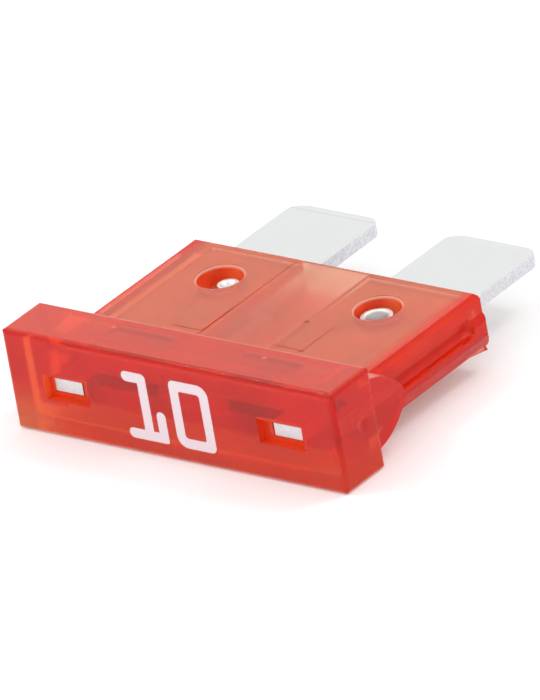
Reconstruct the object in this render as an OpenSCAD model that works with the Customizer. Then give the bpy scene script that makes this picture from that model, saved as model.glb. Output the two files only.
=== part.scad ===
// Medium blade fuse lying on its side: a one-piece moulded housing in translucent red plastic,
// a one-piece stamped zinc element (two blades joined by the fuse link) and the white rating print.
// Millimetres. X runs across the two blades, Y from the head to the blade tips, Z up through the
// thickness. The head's lower large face is on z = 0 and the part is centred in X and Y.

/* [Overall] */
// length from the head's outer face to the blade tips
overall_l = 19.2; // [18.4:0.1:20]

/* [Head] */
// width of the head across the blades
head_w = 19.4; // [18.9:0.1:21]
// thickness of the head
head_t = 5.2; // [4.8:0.1:6]
// how far the head's middle lies above the blades' middle
head_up = 0.07; // [0:0.01:0.15]
// depth of the head from its outer face to its back
head_d = 3.0; // [2.6:0.1:3.6]
// rounding of the head's edges
head_r = 0.25; // [0.1:0.05:0.5]

/* [Body] */
// length from the head's outer face to the open end of the body
body_l = 12.9; // [12:0.1:13.6]
// thickness of the body
body_t = 2.62; // [2.5:0.02:3.2]
// width of the body's side walls, above and below the groove
body_w = 16.9; // [16.5:0.1:17.3]
// how far each side ridge stands out from the side wall
ridge_out = 0.27; // [0.15:0.01:0.35]
// how deep the round side groove is cut into the side wall
groove_in = 0.36; // [0.2:0.02:0.5]
// distance from the open end of the body to the start of the groove's round end
groove_back = 1.6; // [1.2:0.1:2.4]
// bevel along the long edges of the body's large faces
edge_bevel = 0.25; // [0.15:0.05:0.4]
// bevel round the open end of the body
end_bevel = 0.12; // [0.06:0.02:0.3]
// rounding of the body's two rear corners
corner_r = 0.25; // [0.15:0.05:0.5]
// thickness of the walls over the cavity between the blades
web = 0.45; // [0.35:0.05:0.7]
// width of the sunk strip along the middle of both large faces
strip_w = 4.1; // [3.5:0.1:5]
// depth of the sunk strip
strip_d = 0.02; // [0.01:0.01:0.14]
// width across the faint pads beside the strip
pad_w = 7.7; // [6:0.1:9]
// length of the faint pads
pad_l = 2.34; // [2:0.02:2.8]
// distance of the pads from the head
pad_gap = 2.27; // [1.9:0.01:2.8]
// height of the faint pads
pad_h = 0.02; // [0.01:0.01:0.06]
// length of the burr under the lower rear corner
burr_l = 1.5; // [1:0.1:2]
// height of the burr
burr_h = 0.25; // [0.1:0.05:0.4]
// width of the burr
burr_w = 0.5; // [0.3:0.1:0.8]

/* [End gussets] */
// distance from the middle to the outer face of each gusset
gusset_x = 9.3; // [9:0.05:9.35]
// how far the gussets reach back from the head
gusset_l = 2.55; // [2:0.05:3]
// height of the gussets where they leave the head
gusset_h = 3.7; // [3:0.1:4.4]

/* [Element] */
// outside distance across the two blades
blade_span = 14.5; // [14.2:0.1:14.8]
// width of each blade
blade_w = 5.2; // [5:0.05:5.4]
// thickness of the blades
blade_t = 0.65; // [0.55:0.05:0.8]
// rounding of the blade tips in plan
tip_r = 0.9; // [0.4:0.1:1.2]
// length of the coined wedge at the blade tips
coin_l = 0.55; // [0.3:0.05:1]
// thickness of the coined edge
coin_t = 0.5; // [0.3:0.05:0.55]
// distance from the head's outer face to the blade shoulders
shoulder_y = 3.3; // [3:0.1:3.5]
// width of the test tab above each blade
tab_w = 1.62; // [1.4:0.02:2.2]
// thickness of the fuse link
link_t = 0.3; // [0.2:0.05:0.5]
// width of the fuse link
link_w = 0.55; // [0.4:0.05:0.8]
// outer radius of the link's arch
link_r = 1.35; // [1.1:0.05:1.6]
// distance from the head's outer face to the middle of the arch
link_y = 6.3; // [5.8:0.1:6.8]
// length of the link's legs behind the arch
link_leg = 2.6; // [2:0.1:3.2]

/* [Stake points] */
// distance of the stake holes from the head's outer face
stake_y = 10.05; // [9.4:0.05:10.4]
// diameter of each stake hole at the large face
stake_rim = 2.3; // [2.1:0.05:2.6]
// diameter of each stake hole at the blade
stake_floor = 2.0; // [1.95:0.05:2.1]
// rounding of the hole's rim
stake_lip = 0.12; // [0.05:0.01:0.2]
// diameter of the boss pressed up in the right blade
boss_d = 1.65; // [1.4:0.05:1.65]
// how far the right boss lies off its hole's middle, towards the middle of the fuse
boss_in = 0.15; // [0:0.05:0.15]
// diameter of the smaller boss in the left blade
boss_left_d = 1.15; // [0.9:0.05:1.15]
// how far the left boss lies off its hole's middle, towards the middle of the fuse
boss_left_in = 0.25; // [0:0.05:0.3]
// how far the left boss lies off its hole's middle, towards the blade tips
boss_left_back = 0.2; // [0:0.05:0.25]
// height of the bosses above the blade
boss_h = 0.55; // [0.3:0.05:0.6]
// how much narrower a boss is at its top
boss_taper = 0.1; // [0.05:0.05:0.4]
// depth of the dish in the top of a boss
dish_h = 0.18; // [0.05:0.01:0.22]
// flat rim left round the dish
dish_rim = 0.12; // [0.08:0.01:0.2]
// how much narrower the recess under a boss is than the boss
recess_in = 0.4; // [0.3:0.05:0.5]

/* [Test windows] */
// width of each window in the head's outer face
window_w = 2.6; // [2.3:0.1:3]
// height of each window
window_h = 1.26; // [1:0.02:1.6]
// depth of each window down to the metal
window_d = 0.42; // [0.3:0.02:0.6]
// distance of each window's middle from the middle of the head
window_x = 6.3; // [6.1:0.05:6.4]

/* [Print] */
// height of the rating figures
fig_h = 3.5; // [2.8:0.1:3.8]
// width of the strokes
fig_s = 0.54; // [0.35:0.01:0.6]
// rounding of the nought's upper right and lower left corners
nought_r = 0.6; // [0.4:0.05:0.8]
// rounding of the nought's two tight corners
nought_tight_r = 0.32; // [0.15:0.01:0.4]
// thickness of the printed foil
foil_t = 0.04; // [0.02:0.01:0.08]

/* [Fits] */
// gap between blade and slot on each large face
slot_gap = 0.04; // [0.02:0.01:0.08]
// gap between blade edge and slot end on each side
side_gap = 0.08; // [0.04:0.01:0.15]
// how far the foil lies below the head's face
foil_sink = 0.01; // [0.005:0.005:0.03]

/* [Hidden] */
$fn = 48;
e = 0.02;
half_t = body_t / 2;
slot_h = blade_t + 2 * slot_gap;
slot_w = blade_span + 2 * side_gap;
blade_in = blade_span / 2 - blade_w;
blade_x = blade_span / 2 - blade_w / 2;
cavity_w = 2 * blade_in - 0.2;
cavity_h = body_t - 2 * strip_d - 2 * web;
cavity_y = head_d + 0.6;
face_w = body_w - 2 * edge_bevel;
lip_z = half_t * 0.4;
step_top = half_t * 0.26;
step_low = half_t * 0.02;
ridge_top = -half_t * 0.27;
ridge_low = -half_t * 0.54;
foot_out = 0.05;
pad_y = head_d + pad_gap;
mark_r = 0.42;
mark_d = 0.06;
mark_z = 0.26;
pip_r = 0.16;
pip_h = 0.05;
nub_x = 4.45;
nub_y = head_d * 0.64;
flag_x = -2.5;
stem_x = -1.34;
foot_x = -2.57;
toe_x = -0.5;
toe_h = 1.65;
toe_r = 0.15;
nought_left = 0;
nought_w = 2.28;

// moves the fuse from its working axes (Y from the head's outer face, Z from the middle) to the frame
module place() {
    translate([0, -overall_l / 2, head_t / 2 - head_up]) children();
}

// square with rounded corners, centred
module rrect(w, h, r) {
    square([w - 2 * r, h], center = true);
    square([w, h - 2 * r], center = true);
    for (x = [-1, 1], y = [-1, 1])
        translate([x * (w / 2 - r), y * (h / 2 - r)]) circle(r);
}

// outline drawn in X and Z, pulled along Y from y0 to y1
module along_y(y0, y1) {
    translate([0, y1, 0]) rotate([90, 0, 0]) linear_extrude(y1 - y0) children();
}

// outline drawn in Y and Z, pulled along X from x0 to x1
module along_x(x0, x1) {
    translate([x0, 0, 0]) rotate([90, 0, 90]) linear_extrude(x1 - x0) children();
}

// block given by its limits
module box(x0, x1, y0, y1, z0, z1) {
    translate([x0, y0, z0]) cube([x1 - x0, y1 - y0, z1 - z0]);
}

// head block with every edge rounded
module head() {
    intersection() {
        along_y(0, head_d) rrect(head_w, head_t, head_r);
        along_x(-head_w / 2, head_w / 2) translate([head_d / 2, 0]) rrect(head_d, head_t, head_r);
        translate([0, head_d / 2, -head_t / 2]) linear_extrude(head_t) rrect(head_w, head_d, head_r);
    }
}

// section of the body across Y: bevelled faces, side walls, a step and the ridge
module body_section() {
    w = body_w / 2;
    r = w + ridge_out;
    polygon([
        [-face_w / 2, half_t], [face_w / 2, half_t], [w, half_t - edge_bevel], [w, step_top],
        [r, step_low], [r, ridge_low], [w + foot_out, -half_t],
        [-w - foot_out, -half_t], [-r, ridge_low], [-r, step_low],
        [-w, step_top], [-w, half_t - edge_bevel]
    ]);
}

// round side groove under the lip, from the head to its ball end short of the open end
module groove() {
    r = ridge_out + groove_in;
    y = body_l - groove_back;
    intersection() {
        translate([body_w / 2 + ridge_out, 0, ridge_top + r]) {
            translate([0, y, 0]) rotate([90, 0, 0]) cylinder(h = y - head_d / 2, r = r);
            translate([0, y, 0]) sphere(r);
        }
        box(0, body_w, 0, body_l, -half_t, lip_z);
    }
}

// spherical cap of radius r and height h, standing on or sunk into z = 0
module cap(r, h) {
    ball = (r * r + h * h) / (2 * h);
    translate([0, 0, h - ball]) sphere(ball);
}

// burr left under the lower rear corner: a thin wedge that grows towards the open end
module burr() {
    y = body_l - burr_l - end_bevel;
    along_x(body_w / 2 + foot_out - burr_w, body_w / 2 + foot_out)
        polygon([[y, -half_t + e], [y + burr_l, -half_t - burr_h], [y + burr_l * 0.93, -half_t + e]]);
}

// body with bevelled open end, rounded rear corners, side grooves, pads and pips
module body() {
    full = body_w + 2 * ridge_out;
    difference() {
        intersection() {
            along_y(head_d / 2, body_l) body_section();
            along_x(-full / 2, full / 2) polygon([
                [0, -half_t], [body_l - end_bevel, -half_t], [body_l, -half_t + end_bevel],
                [body_l, half_t - end_bevel], [body_l - end_bevel, half_t], [0, half_t]
            ]);
            translate([0, body_l / 2, -half_t]) linear_extrude(body_t) rrect(full, body_l, corner_r);
        }
        groove();
        mirror([1, 0, 0]) groove();
    }
    for (f = [0, 1]) mirror([0, 0, f])
        box(-pad_w / 2, pad_w / 2, pad_y, pad_y + pad_l, half_t - e, half_t + pad_h);
    translate([pad_w / 2 - pip_r / 2, pad_y, half_t]) cap(pip_r, pip_h);
    translate([strip_w / 2 + pip_r, pad_y + pad_l + pip_r, half_t]) cap(pip_r, pip_h);
    burr();
}

// one end gusset: two arcs meeting in a blunt point, pulled along X
module gusset() {
    h = gusset_h / 2;
    drop = h * 0.85;
    x0 = body_w / 2 - groove_in - 0.3;
    along_x(x0, gusset_x) intersection() {
        translate([head_d - 0.31, -drop]) circle(h + drop);
        translate([head_d - 0.31, drop]) circle(h + drop);
        translate([head_d / 2, -head_t / 2]) square([head_d / 2 + gusset_l, head_t]);
    }
}

// stake hole from one large face down to the slot, with a rounded rim
module stake_hole() {
    r = stake_rim / 2;
    translate([0, 0, slot_h / 2 - e])
        cylinder(h = half_t - slot_h / 2 + e, d1 = stake_floor, d2 = stake_rim);
    translate([0, 0, half_t - e]) cylinder(h = 1, d = stake_rim);
    rotate_extrude() difference() {
        translate([r - 2 * e, half_t - stake_lip]) square([stake_lip + 2 * e, stake_lip + pad_h + e]);
        translate([r + stake_lip, half_t - stake_lip]) circle(stake_lip);
    }
}

// slots, cavity and openings taken out of the housing
module hollows() {
    tab_mid = blade_span / 2 - tab_w / 2;
    tab_slot = tab_w / 2 + side_gap;
    box(-slot_w / 2, slot_w / 2, shoulder_y, body_l + 1, -slot_h / 2, slot_h / 2);
    box(-cavity_w / 2, cavity_w / 2, cavity_y, body_l + 1, -cavity_h / 2, cavity_h / 2);
    for (s = [-1, 1]) {
        translate([s * tab_mid, 0, 0])
            box(-tab_slot, tab_slot, window_d - e, shoulder_y + e, -slot_h / 2, slot_h / 2);
        translate([s * window_x, 0, 0])
            box(-window_w / 2, window_w / 2, -1, window_d, -window_h / 2, window_h / 2);
        for (f = [0, 1]) mirror([0, 0, f])
            translate([s * blade_x, stake_y, 0]) stake_hole();
        translate([s * head_w / 2, head_d * 0.63, mark_z]) rotate([0, -s * 90, 0]) cap(mark_r, mark_d);
    }
    for (f = [0, 1]) mirror([0, 0, f])
        box(-strip_w / 2, strip_w / 2, head_d, body_l + 1, half_t - strip_d, head_t);
}

// quarter of an outline, from the middle to a rounded corner at w, h
module quarter(w, h, r) {
    translate([-e, -e]) square([w + e, h - r + e]);
    translate([-e, -e]) square([w - r + e, h + e]);
    translate([w - r, h - r]) circle(r);
}

// outline with two wide and two tight corners, w and h from its middle to its sides
module two_way_rounded(w, h, wide, tight) {
    for (turn = [0, 180]) rotate(turn) {
        quarter(w, h, wide);
        mirror([1, 0]) quarter(w, h, tight);
    }
}

// the figure one: flag, stem, foot and upturned toe, drawn in X and Z
module fig_one() {
    h = fig_h / 2;
    r = fig_s / 2;
    translate([flag_x, h - fig_s]) square([stem_x - r - flag_x, fig_s]);
    translate([flag_x, h - r]) circle(r);
    translate([stem_x - r, h - r]) circle(r);
    translate([stem_x - fig_s, -h]) square([fig_s, fig_h - r]);
    translate([foot_x, -h]) square([toe_x - toe_r - foot_x, fig_s]);
    translate([foot_x, -h + r]) circle(r);
    translate([toe_x - toe_r, -h + toe_r]) circle(toe_r);
    translate([toe_x - fig_s, -h + toe_r]) square([fig_s, toe_h - r - toe_r]);
    translate([toe_x - r, -h + toe_h - r]) circle(r);
}

// the figure nought: a ring with two tight and two wide corners, drawn in X and Z
module fig_nought() {
    w = nought_w / 2;
    h = fig_h / 2;
    translate([nought_left + w, 0]) difference() {
        two_way_rounded(w, h, nought_r, nought_tight_r);
        two_way_rounded(w - fig_s, h - fig_s, nought_r * 0.3, nought_tight_r * 0.25);
    }
}

// both figures, drawn in X and Z
module figures() {
    fig_one();
    fig_nought();
}

module housing() {
    color([0.86, 0.16, 0.12, 0.75]) place() difference() {
        union() {
            translate([0, 0, head_up]) head();
            body();
            gusset();
            mirror([1, 0, 0]) gusset();
            for (s = [-1, 1]) translate([s * nub_x, nub_y, head_t / 2 + head_up]) cap(pip_r, pip_h);
        }
        hollows();
        along_y(-1, foil_t + foil_sink) figures();
    }
}

// plan of one blade with its tab, for the blade on the +X side
module blade_plan() {
    y1 = overall_l;
    translate([blade_in, shoulder_y]) square([blade_w, y1 - shoulder_y - tip_r]);
    translate([blade_in + tip_r, y1 - 2 * tip_r]) square([blade_w - 2 * tip_r, 2 * tip_r]);
    for (x = [blade_in + tip_r, blade_in + blade_w - tip_r]) translate([x, y1 - tip_r]) circle(tip_r);
    translate([blade_span / 2 - tab_w, window_d]) square([tab_w, shoulder_y - window_d + e]);
}

// side view of a blade: flat, then coined to a thinner edge at the tip
module blade_side() {
    t = blade_t / 2;
    c = coin_t / 2;
    y = overall_l - coin_l;
    polygon([[0, -t], [y, -t], [overall_l, -c], [overall_l, c], [y, t], [0, t]]);
}

// plan of the fuse link: an arch with two legs and two stubs
module link_plan() {
    reach = blade_in - link_r + link_w + e;
    difference() {
        translate([0, link_y]) circle(link_r);
        translate([0, link_y]) circle(link_r - link_w);
        translate([-2 * link_r, link_y]) square([4 * link_r, 2 * link_r]);
    }
    for (s = [0, 1]) mirror([s, 0]) {
        translate([link_r - link_w, link_y - e]) square([link_w, link_leg + e]);
        translate([link_r - link_w, link_y + link_leg - link_w]) square([reach, link_w]);
    }
}

// boss pressed up from the blade's lower face, before its dish and recess
module boss(d) {
    translate([0, 0, blade_t / 2 - e]) cylinder(h = boss_h + e, d1 = d, d2 = d - boss_taper);
}

// recess under a boss and dish in its top
module boss_cuts(d) {
    translate([0, 0, -blade_t / 2 - e]) cylinder(h = boss_h + e, d = d - recess_in);
    translate([0, 0, blade_t / 2 + boss_h]) mirror([0, 0, 1]) cap((d - boss_taper) / 2 - dish_rim, dish_h);
}

module fuse_element() {
    left = [-blade_x + boss_left_in, stake_y + boss_left_back, 0];
    right = [blade_x - boss_in, stake_y, 0];
    color([0.8, 0.81, 0.82]) place() difference() {
        union() {
            intersection() {
                translate([0, 0, -blade_t / 2]) linear_extrude(blade_t)
                    for (s = [0, 1]) mirror([s, 0]) blade_plan();
                along_x(-blade_span, blade_span) blade_side();
            }
            translate([0, 0, -link_t / 2]) linear_extrude(link_t) link_plan();
            translate(left) boss(boss_left_d);
            translate(right) boss(boss_d);
        }
        translate(left) boss_cuts(boss_left_d);
        translate(right) boss_cuts(boss_d);
    }
}

module rating_print() {
    color([0.94, 0.88, 0.9]) place() along_y(foil_sink, foil_sink + foil_t) figures();
}

housing();
fuse_element();
rating_print();
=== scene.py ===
import bpy
from math import cos, radians, sin
from mathutils import Matrix, Vector

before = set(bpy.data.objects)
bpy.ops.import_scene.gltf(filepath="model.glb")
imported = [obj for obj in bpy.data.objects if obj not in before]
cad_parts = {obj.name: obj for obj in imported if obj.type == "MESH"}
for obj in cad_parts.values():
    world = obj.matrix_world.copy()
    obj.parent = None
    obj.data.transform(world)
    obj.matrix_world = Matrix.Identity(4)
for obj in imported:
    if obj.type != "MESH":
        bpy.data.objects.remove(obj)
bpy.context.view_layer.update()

# Housing: one injection moulding in polycarbonate, dyed red through and slightly cloudy. The zinc element is
# pushed into it from the rear and held by its two bosses, which are staked in the round holes. The places
# below are in the part's own frame. Both halves are alike, so X is given for the right half.
MM = 0.001
HEAD_END_Y = -6.6 * MM
HOLE_AXIS = (4.65 * MM, 0.45 * MM, 0.0)
HOLE_RIM_RADIUS = 1.18 * MM
NUB_AXIS = (4.45 * MM, -7.68 * MM, 0.0)
WINDOW_MIDDLE = (6.3 * MM, -9.36 * MM, 2.53 * MM)
WINDOW_HALF = Vector((1.31, 0.19, 0.64)) * MM
WINDOW_FADE = Vector((0.05, 0.02, 0.05)) * MM


def linear(hex_colour):
    """sRGB hex colour as linear red, green, blue and an alpha of 1."""
    values = [int(hex_colour[i:i + 2], 16) / 255 for i in (1, 3, 5)]
    return [v / 12.92 if v <= 0.04045 else ((v + 0.055) / 1.055) ** 2.4 for v in values] + [1.0]


def add(owner, kind, links=None, **settings):
    """Adds a node to a material or world. Settings name its properties, or its sockets with _ for a space.
    Links name or number its sockets, each given a plain value, another node's socket, or another node, which
    stands for its first output in use."""
    tree = owner.node_tree
    node = tree.nodes.new(kind)
    for name, value in settings.items():
        if hasattr(node, name):
            setattr(node, name, value)
        else:
            node.inputs[name.replace("_", " ")].default_value = value
    for name, source in (links or {}).items():
        if isinstance(source, bpy.types.Node):
            source = next(socket for socket in source.outputs if socket.enabled)
        if isinstance(source, bpy.types.NodeSocket):
            tree.links.new(source, node.inputs[name])
        else:
            node.inputs[name].default_value = source
    return node


def new_material(name):
    """Material with an empty node tree."""
    material = bpy.data.materials.new(name)
    material.use_nodes = True
    material.node_tree.nodes.clear()
    return material


def dress(obj, material):
    """Gives every slot of a CAD node this material."""
    for slot in obj.material_slots:
        slot.material = material


# Red polycarbonate: places and directions that its patterns go by.
plastic = new_material("red_polycarbonate")
place = add(plastic, "ShaderNodeTexCoord")
spot = add(plastic, "ShaderNodeSeparateXYZ", {"Vector": place.outputs["Object"]})
x, y, z = (spot.outputs[axis] for axis in "XYZ")
facing = add(plastic, "ShaderNodeSeparateXYZ", {"Vector": place.outputs["Normal"]})
across = add(plastic, "ShaderNodeMath", {0: x}, operation="ABSOLUTE")
folded = add(plastic, "ShaderNodeCombineXYZ", {"X": across, "Y": y, "Z": z})
plan = add(plastic, "ShaderNodeCombineXYZ", {"X": across, "Y": y})

# Surface from a polished mould: a clear gloss over low waves and swirls of haze, about 3 mm apart as the
# melt's flow leaves them. The faces to the sides are less glossy, as in the photograph.
flow = add(plastic, "ShaderNodeTexNoise", {"Vector": place.outputs["Object"]}, Scale=0.4 / MM, Detail=3.0)
haze = add(plastic, "ShaderNodeMapRange", {"Value": flow}, To_Min=0.14, To_Max=0.24)
ripple = add(plastic, "ShaderNodeTexNoise", {"Vector": place.outputs["Object"]}, Scale=0.35 / MM, Detail=1.0)
surface = add(plastic, "ShaderNodeBump", {"Height": ripple}, Strength=0.1, Distance=0.02 * MM)
# Painted shade: the thinner coat on the side faces stands in for the darker surroundings they reflect.
aside = add(plastic, "ShaderNodeMath", {0: facing.outputs["X"]}, operation="ABSOLUTE")
side_shaded_coat = add(plastic, "ShaderNodeMapRange", {"Value": aside}, From_Min=0.5, From_Max=0.9,
            To_Min=0.48, To_Max=0.28)
clear = add(
    plastic, "ShaderNodeBsdfPrincipled", {"Roughness": haze, "Normal": surface, "Coat Weight": side_shaded_coat},
    Base_Color=linear("#fff4e2"), IOR=1.58, Specular_Tint=linear("#606060"), Transmission_Weight=1.0,
    Coat_Roughness=0.05, Coat_IOR=1.5)

# Depth of the moulding, from 0 in its thin walls to 1 in the solid head and sides. The roof over the cavity
# between the blades is in between, most so towards the head. Tops are painted paler, as painted light from
# above.
head = add(plastic, "ShaderNodeMapRange", {"Value": y}, From_Min=HEAD_END_Y + 0.6 * MM,
           From_Max=HEAD_END_Y - 0.3 * MM)
flank = add(plastic, "ShaderNodeMapRange", {"Value": across}, From_Min=7.4 * MM, From_Max=8.2 * MM)
core = add(plastic, "ShaderNodeMapRange", {"Value": across}, From_Min=2.3 * MM, From_Max=1.9 * MM)
front = add(plastic, "ShaderNodeMapRange", {"Value": y}, From_Min=2.6 * MM, From_Max=0.0, To_Max=0.4)
roof = add(plastic, "ShaderNodeMath", {0: core, 1: front}, operation="MULTIPLY")
outer = add(plastic, "ShaderNodeMath", {0: head, 1: flank}, operation="MAXIMUM")
deep = add(plastic, "ShaderNodeMath", {0: outer, 1: roof}, operation="MAXIMUM")
top_painted_paler = add(plastic, "ShaderNodeMapRange", {"Value": facing.outputs["Z"]}, From_Min=0.6, From_Max=0.95,
         To_Min=1.0, To_Max=0.6)
depth_with_top_light = add(plastic, "ShaderNodeMath", {0: deep, 1: top_painted_paler}, operation="MULTIPLY")

# Sides of the body, from the head to its rear end and down to the groove's lower edge: the deepest red.
behind_head = add(plastic, "ShaderNodeMapRange", {"Value": y}, From_Min=HEAD_END_Y - 0.02 * MM,
                  From_Max=HEAD_END_Y + 0.02 * MM)
upper = add(plastic, "ShaderNodeMapRange", {"Value": z}, From_Min=1.7 * MM, From_Max=2.1 * MM)
inboard = add(plastic, "ShaderNodeMapRange", {"Value": across}, From_Min=8.9 * MM, From_Max=8.8 * MM)
side = add(plastic, "ShaderNodeMath", {0: behind_head, 1: upper}, operation="MULTIPLY")
wing = add(plastic, "ShaderNodeMath", {0: flank, 1: inboard}, operation="MULTIPLY")
strip = add(plastic, "ShaderNodeMath", {0: side, 1: wing}, operation="MULTIPLY")

# Foot of the head, painted orange as painted light that stands in for light from the table coming through,
# most of all at the lower left corner.
left_end = add(plastic, "ShaderNodeMapRange", {"Value": x}, From_Min=-6.5 * MM, From_Max=-9.2 * MM,
               To_Min=0.25, To_Max=0.9)
low = add(plastic, "ShaderNodeMapRange", {"Value": z}, From_Min=2.6 * MM, From_Max=0.6 * MM)
foot = add(plastic, "ShaderNodeMath", {0: left_end, 1: low}, operation="MULTIPLY")
foot_glow = add(plastic, "ShaderNodeMath", {0: foot, 1: head}, operation="MULTIPLY")

# Walls of the stake holes and of the recesses in front of the test windows, painted bright orange: painted
# light that stands in for light the plastic carries to them.
from_hole = add(plastic, "ShaderNodeVectorMath", {0: plan, 1: HOLE_AXIS}, operation="DISTANCE")
hole = add(plastic, "ShaderNodeMapRange", {"Value": from_hole}, From_Min=HOLE_RIM_RADIUS + 0.06 * MM,
           From_Max=HOLE_RIM_RADIUS - 0.02 * MM)
from_window = add(plastic, "ShaderNodeVectorMath", {0: folded, 1: WINDOW_MIDDLE}, operation="SUBTRACT")
off_window = add(plastic, "ShaderNodeVectorMath", {0: from_window}, operation="ABSOLUTE")
within = add(
    plastic, "ShaderNodeMapRange",
    {"Vector": off_window, "From Min": WINDOW_HALF + WINDOW_FADE, "From Max": WINDOW_HALF},
    data_type="FLOAT_VECTOR")
box = add(plastic, "ShaderNodeSeparateXYZ", {"Vector": within})
opening = add(plastic, "ShaderNodeMath", {0: box.outputs["X"], 1: box.outputs["Z"]}, operation="MULTIPLY")
recess = add(plastic, "ShaderNodeMath", {0: opening, 1: box.outputs["Y"]}, operation="MULTIPLY")
wall_glow = add(plastic, "ShaderNodeMath", {0: hole, 1: recess}, operation="MAXIMUM")

# Painted highlights on edges that catch the light: the holes' rims, the two nubs on the head and the bevel
# along the rear.
off_rim = add(plastic, "ShaderNodeMath", {0: from_hole, 1: HOLE_RIM_RADIUS}, operation="SUBTRACT")
near_rim = add(plastic, "ShaderNodeMath", {0: off_rim}, operation="ABSOLUTE")
rim = add(plastic, "ShaderNodeMapRange", {"Value": near_rim}, From_Min=0.06 * MM, From_Max=0.01 * MM)
from_nub = add(plastic, "ShaderNodeVectorMath", {0: plan, 1: NUB_AXIS}, operation="DISTANCE")
nub = add(plastic, "ShaderNodeMapRange", {"Value": from_nub}, From_Min=0.2 * MM, From_Max=0.02 * MM,
          To_Max=0.6)
rearward = add(plastic, "ShaderNodeMapRange", {"Value": facing.outputs["Y"]}, From_Min=0.25, From_Max=0.5,
               To_Max=0.8)
upward = add(plastic, "ShaderNodeMapRange", {"Value": facing.outputs["Z"]}, From_Min=0.25, From_Max=0.5)
bevel = add(plastic, "ShaderNodeMath", {0: rearward, 1: upward}, operation="MULTIPLY")
dots = add(plastic, "ShaderNodeMath", {0: rim, 1: nub}, operation="MAXIMUM")
glint = add(plastic, "ShaderNodeMath", {0: dots, 1: bevel}, operation="MAXIMUM")

# Cloud of pigment in the plastic, which scatters light back: salmon in thin walls over metal, full red in the
# deep parts but paler on tops as painted light, painted orange light at the head's foot and round holes and
# windows, and painted highlights on edges. Each colour lies over the ones before it.
pigment = linear("#ff7852")
for zone, colour in ((depth_with_top_light, "#fc2618"), (strip, "#f4240e"), (foot_glow, "#ff8a54"), (wall_glow, "#ff5029"),
                     (glint, "#ffc8b0")):
    pigment = add(plastic, "ShaderNodeMix", {"Factor": zone, "A": pigment, "B": linear(colour)},
                  data_type="RGBA")
cloud = add(
    plastic, "ShaderNodeBsdfPrincipled", {"Base Color": pigment, "Normal": surface, "Coat Weight": side_shaded_coat},
    Roughness=0.5, Specular_IOR_Level=0.0, Coat_Roughness=0.05, Coat_IOR=1.5)

# Share of the cloud against the clear plastic. It drifts by up to a tenth over about 3 mm, and each zone adds
# its own.
drift = add(plastic, "ShaderNodeTexNoise", {"Vector": place.outputs["Object"]}, Scale=0.3 / MM, Detail=1.0)
share = add(plastic, "ShaderNodeMapRange", {"Value": drift}, From_Min=0.35, From_Max=0.65,
            To_Min=0.27, To_Max=0.37)
denser = 0.0
for zone, most in ((deep, 0.1), (strip, 0.28), (glint, 0.3), (wall_glow, 0.44)):
    part = add(plastic, "ShaderNodeMath", {0: zone, 1: most}, operation="MULTIPLY")
    denser = add(plastic, "ShaderNodeMath", {0: part, 1: denser}, operation="MAXIMUM")
milky = add(plastic, "ShaderNodeMath", {0: share, 1: denser}, operation="ADD")
mixed = add(plastic, "ShaderNodeMixShader", {0: milky, 1: clear, 2: cloud})

# Dye: light is tinted along its way through the plastic, so the deeper it goes, the redder it comes out.
dye = add(plastic, "ShaderNodeVolumeAbsorption", Color=linear("#ffbe33"), Density=0.9 / MM)
add(plastic, "ShaderNodeOutputMaterial", {"Surface": mixed, "Volume": dye})
dress(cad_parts["housing"], plastic)

# Fuse element: blades, test tabs, bosses and link, stamped in one from rolled zinc strip. It is cut off by
# shearing, the blades' tips are coined, and a boss with a dish in its top is pressed up in each blade.
HOUSING_REAR_Y = 3.3 * MM
CREASE_Y = 9.05 * MM
DISH_Z = 3.25 * MM

# Rolled zinc: satin, with faint marks along the blades. Real marks are a few hundredths of a millimetre apart.
# They are drawn 0.17 mm apart, as finer ones don't show. Inside the housing the metal is painted a little
# brighter, as painted light that makes up for the dimming by the plastic over it.
zinc = new_material("rolled_zinc")
place = add(zinc, "ShaderNodeTexCoord")
spot = add(zinc, "ShaderNodeSeparateXYZ", {"Vector": place.outputs["Object"]})
x, y, z = (spot.outputs[axis] for axis in "XYZ")
stretch = add(zinc, "ShaderNodeMapping", {"Vector": place.outputs["Object"]}, Scale=(1.0, 0.12, 1.0))
marks = add(zinc, "ShaderNodeTexNoise", {"Vector": stretch}, Scale=6 / MM, Detail=4.0)
shine = add(zinc, "ShaderNodeMapRange", {"Value": marks}, To_Min=0.3, To_Max=0.5)
relief = add(zinc, "ShaderNodeBump", {"Height": marks}, Strength=0.15, Distance=0.01 * MM)
covered = add(zinc, "ShaderNodeMapRange", {"Value": y}, From_Min=HOUSING_REAR_Y,
              From_Max=HOUSING_REAR_Y - 0.3 * MM)
right = add(zinc, "ShaderNodeMath", {0: x, 1: 0.0}, operation="GREATER_THAN")

# Crease that coining left across the left blade's tip, drawn as a thin line of painted shade.
from_crease = add(zinc, "ShaderNodeMath", {0: y, 1: CREASE_Y}, operation="SUBTRACT")
off_crease = add(zinc, "ShaderNodeMath", {0: from_crease}, operation="ABSOLUTE")
crease_shade_line = add(zinc, "ShaderNodeMapRange", {"Value": off_crease}, From_Min=0.07 * MM, From_Max=0.0, To_Max=0.45)
crease_shade = add(zinc, "ShaderNodeMath", {0: crease_shade_line, 1: right}, operation="SUBTRACT")

# Dishes in the bosses, painted greyer than the strip as painted shade in the hollows, the right one more than
# the left.
from_dish = add(zinc, "ShaderNodeMath", {0: z, 1: DISH_Z}, operation="SUBTRACT")
off_dish = add(zinc, "ShaderNodeMath", {0: from_dish}, operation="ABSOLUTE")
floor_of_dish = add(zinc, "ShaderNodeMapRange", {"Value": off_dish}, From_Min=0.13 * MM, From_Max=0.07 * MM)
dish_shade_strength = add(zinc, "ShaderNodeMapRange", {"Value": right}, To_Min=0.35, To_Max=1.0)
dish_shade = add(zinc, "ShaderNodeMath", {0: floor_of_dish, 1: dish_shade_strength}, operation="MULTIPLY")

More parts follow.
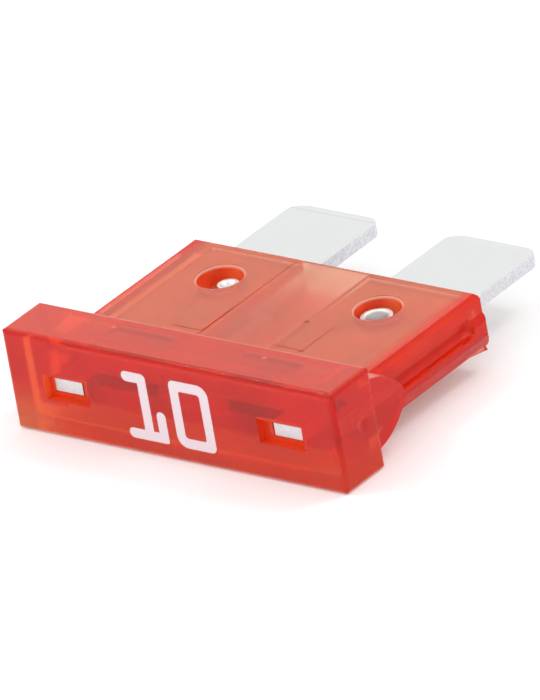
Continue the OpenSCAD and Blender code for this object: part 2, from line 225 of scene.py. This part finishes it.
# Sheared edges: grey and granular where the metal tore. The grains are drawn 0.14 mm across, coarser than
# real ones, so that they show.
speck = add(zinc, "ShaderNodeTexNoise", {"Vector": place.outputs["Object"]}, Scale=7 / MM, Detail=2.0)
tear = add(zinc, "ShaderNodeMapRange", {"Value": speck}, From_Min=0.35, From_Max=0.7)
sheared = add(zinc, "ShaderNodeMix", {"Factor": tear, "A": linear("#c6c6cb"), "B": linear("#dcdce0")},
              data_type="RGBA")
facing = add(zinc, "ShaderNodeSeparateXYZ", {"Vector": place.outputs["Normal"]})
level = add(zinc, "ShaderNodeMath", {0: facing.outputs["Z"]}, operation="ABSOLUTE")
upright = add(zinc, "ShaderNodeMapRange", {"Value": level}, From_Min=0.8, From_Max=0.5)
bare = add(zinc, "ShaderNodeMapRange", {"Value": covered}, To_Min=1.0, To_Max=0.7)
edge = add(zinc, "ShaderNodeMath", {0: upright, 1: bare}, operation="MULTIPLY")

# Colours of the metal: each zone lies over the ones before it.
metal = linear("#e2e4e3")
for zone, colour in ((marks, linear("#ebedec")), (covered, linear("#f6f5f3")), (crease_shade, linear("#bfc2c1")),
                     (dish_shade, linear("#b4b1af")), (edge, sheared)):
    metal = add(zinc, "ShaderNodeMix", {"Factor": zone, "A": metal, "B": colour}, data_type="RGBA")
satin = add(zinc, "ShaderNodeBsdfPrincipled", {"Base Color": metal, "Roughness": shine, "Normal": relief},
            Metallic=1.0)
add(zinc, "ShaderNodeOutputMaterial", {"Surface": satin})
dress(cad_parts["fuse_element"], zinc)

# Rating print: the rating's figures in white foil, hot-stamped into the head's outer face. The foil is satin
# and a little pink from the plastic under it. Its fine grain is drawn 0.2 mm coarse, so that it shows.
foil = new_material("white_foil")
place = add(foil, "ShaderNodeTexCoord")
grain = add(foil, "ShaderNodeTexNoise", {"Vector": place.outputs["Object"]}, Scale=5 / MM, Detail=3.0)
white = add(foil, "ShaderNodeMix", {"Factor": grain, "A": linear("#ecd9df"), "B": linear("#f2e3e8")},
            data_type="RGBA")
stamped = add(foil, "ShaderNodeBsdfPrincipled", {"Base Color": white}, Roughness=0.45)
add(foil, "ShaderNodeOutputMaterial", {"Surface": stamped})
dress(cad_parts["rating_print"], foil)

# Table: a large sheet of matt white card that the fuse lies on. It glows faintly to the eye, the gloss and
# the clear plastic alone, so that it looks white round the shadow and sheds no more light.
TABLE_SIZE = 1.2
TABLE_GLOW = 0.12


def seen(owner):
    """Gives 1 to rays from the eye, a reflection or clear plastic, and 0 to rays that only bring light."""
    ray = add(owner, "ShaderNodeLightPath")
    direct = add(owner, "ShaderNodeMath", {0: ray.outputs["Is Camera Ray"], 1: ray.outputs["Is Glossy Ray"]},
                 operation="MAXIMUM")
    return add(owner, "ShaderNodeMath", {0: direct, 1: ray.outputs["Is Transmission Ray"]},
               operation="MAXIMUM")


bpy.ops.mesh.primitive_plane_add(size=TABLE_SIZE, location=(0, 0, -0.02 * MM))
table = bpy.context.object
table.name = "table"
card = new_material("white_card")
sheet = add(card, "ShaderNodeBsdfDiffuse", Color=linear("#fbfbfb"))
lift = add(card, "ShaderNodeMath", {0: seen(card), 1: TABLE_GLOW}, operation="MULTIPLY")
glow = add(card, "ShaderNodeEmission", {"Strength": lift}, Color=linear("#ffffff"))
lifted = add(card, "ShaderNodeAddShader", {0: sheet, 1: glow})
add(card, "ShaderNodeOutputMaterial", {"Surface": lifted})
table.data.materials.append(card)

# Studio tent: white all round. The eye, the gloss and the clear plastic see it pure white, and the light that
# it gives is a little less than that.
TENT_LIGHT = 0.95
tent = bpy.data.worlds.new("studio")
tent.use_nodes = True
tent.node_tree.nodes.clear()
fill = add(tent, "ShaderNodeBackground", Color=linear("#ffffff"), Strength=TENT_LIGHT)
backdrop = add(tent, "ShaderNodeBackground", Color=linear("#ffffff"), Strength=1.0)
choice = add(tent, "ShaderNodeMixShader", {0: seen(tent), 1: fill, 2: backdrop})
add(tent, "ShaderNodeOutputWorld", {"Surface": choice})
bpy.context.scene.world = tent

# Lamps: two small softboxes above the fuse, one behind it on the right and one before it on the left.
LAMPS = {"right_softbox": (0.105, 0.126, 0.246), "left_softbox": (-0.145, -0.09, 0.24)}
LAMP_SIZE = 0.06
LAMP_POWER = 0.11
for name, at in LAMPS.items():
    data = bpy.data.lights.new(name, "AREA")
    data.size = LAMP_SIZE
    data.energy = LAMP_POWER
    lamp = bpy.data.objects.new(name, data)
    lamp.location = at
    lamp.rotation_euler = (-Vector(at)).to_track_quat("-Z", "Y").to_euler()
    bpy.context.collection.objects.link(lamp)

# Camera: long lens, above and to the right of the head, rolled as the photograph is.
AZIMUTH, ELEVATION, ROLL = radians(41.70), radians(26.21), radians(-10.12)
DISTANCE = 0.659
LENS = 486.3
SENSOR_HEIGHT = 24
NEAREST = 0.01
AIM = Vector((-0.78, -1.34, 1.55)) * MM
back = Vector((sin(AZIMUTH) * cos(ELEVATION), -cos(AZIMUTH) * cos(ELEVATION), sin(ELEVATION)))
camera_data = bpy.data.cameras.new("camera")
camera_data.sensor_fit = "VERTICAL"
camera_data.sensor_height = SENSOR_HEIGHT
camera_data.lens = LENS
camera_data.clip_start = NEAREST
camera = bpy.data.objects.new("camera", camera_data)
look = back.to_track_quat("Z", "Y").to_matrix().to_4x4()
camera.matrix_world = Matrix.Translation(AIM + back * DISTANCE) @ look @ Matrix.Rotation(ROLL, 4, "Z")
bpy.context.collection.objects.link(camera)
bpy.context.scene.camera = camera
bpy.context.scene.view_settings.view_transform = "Standard"
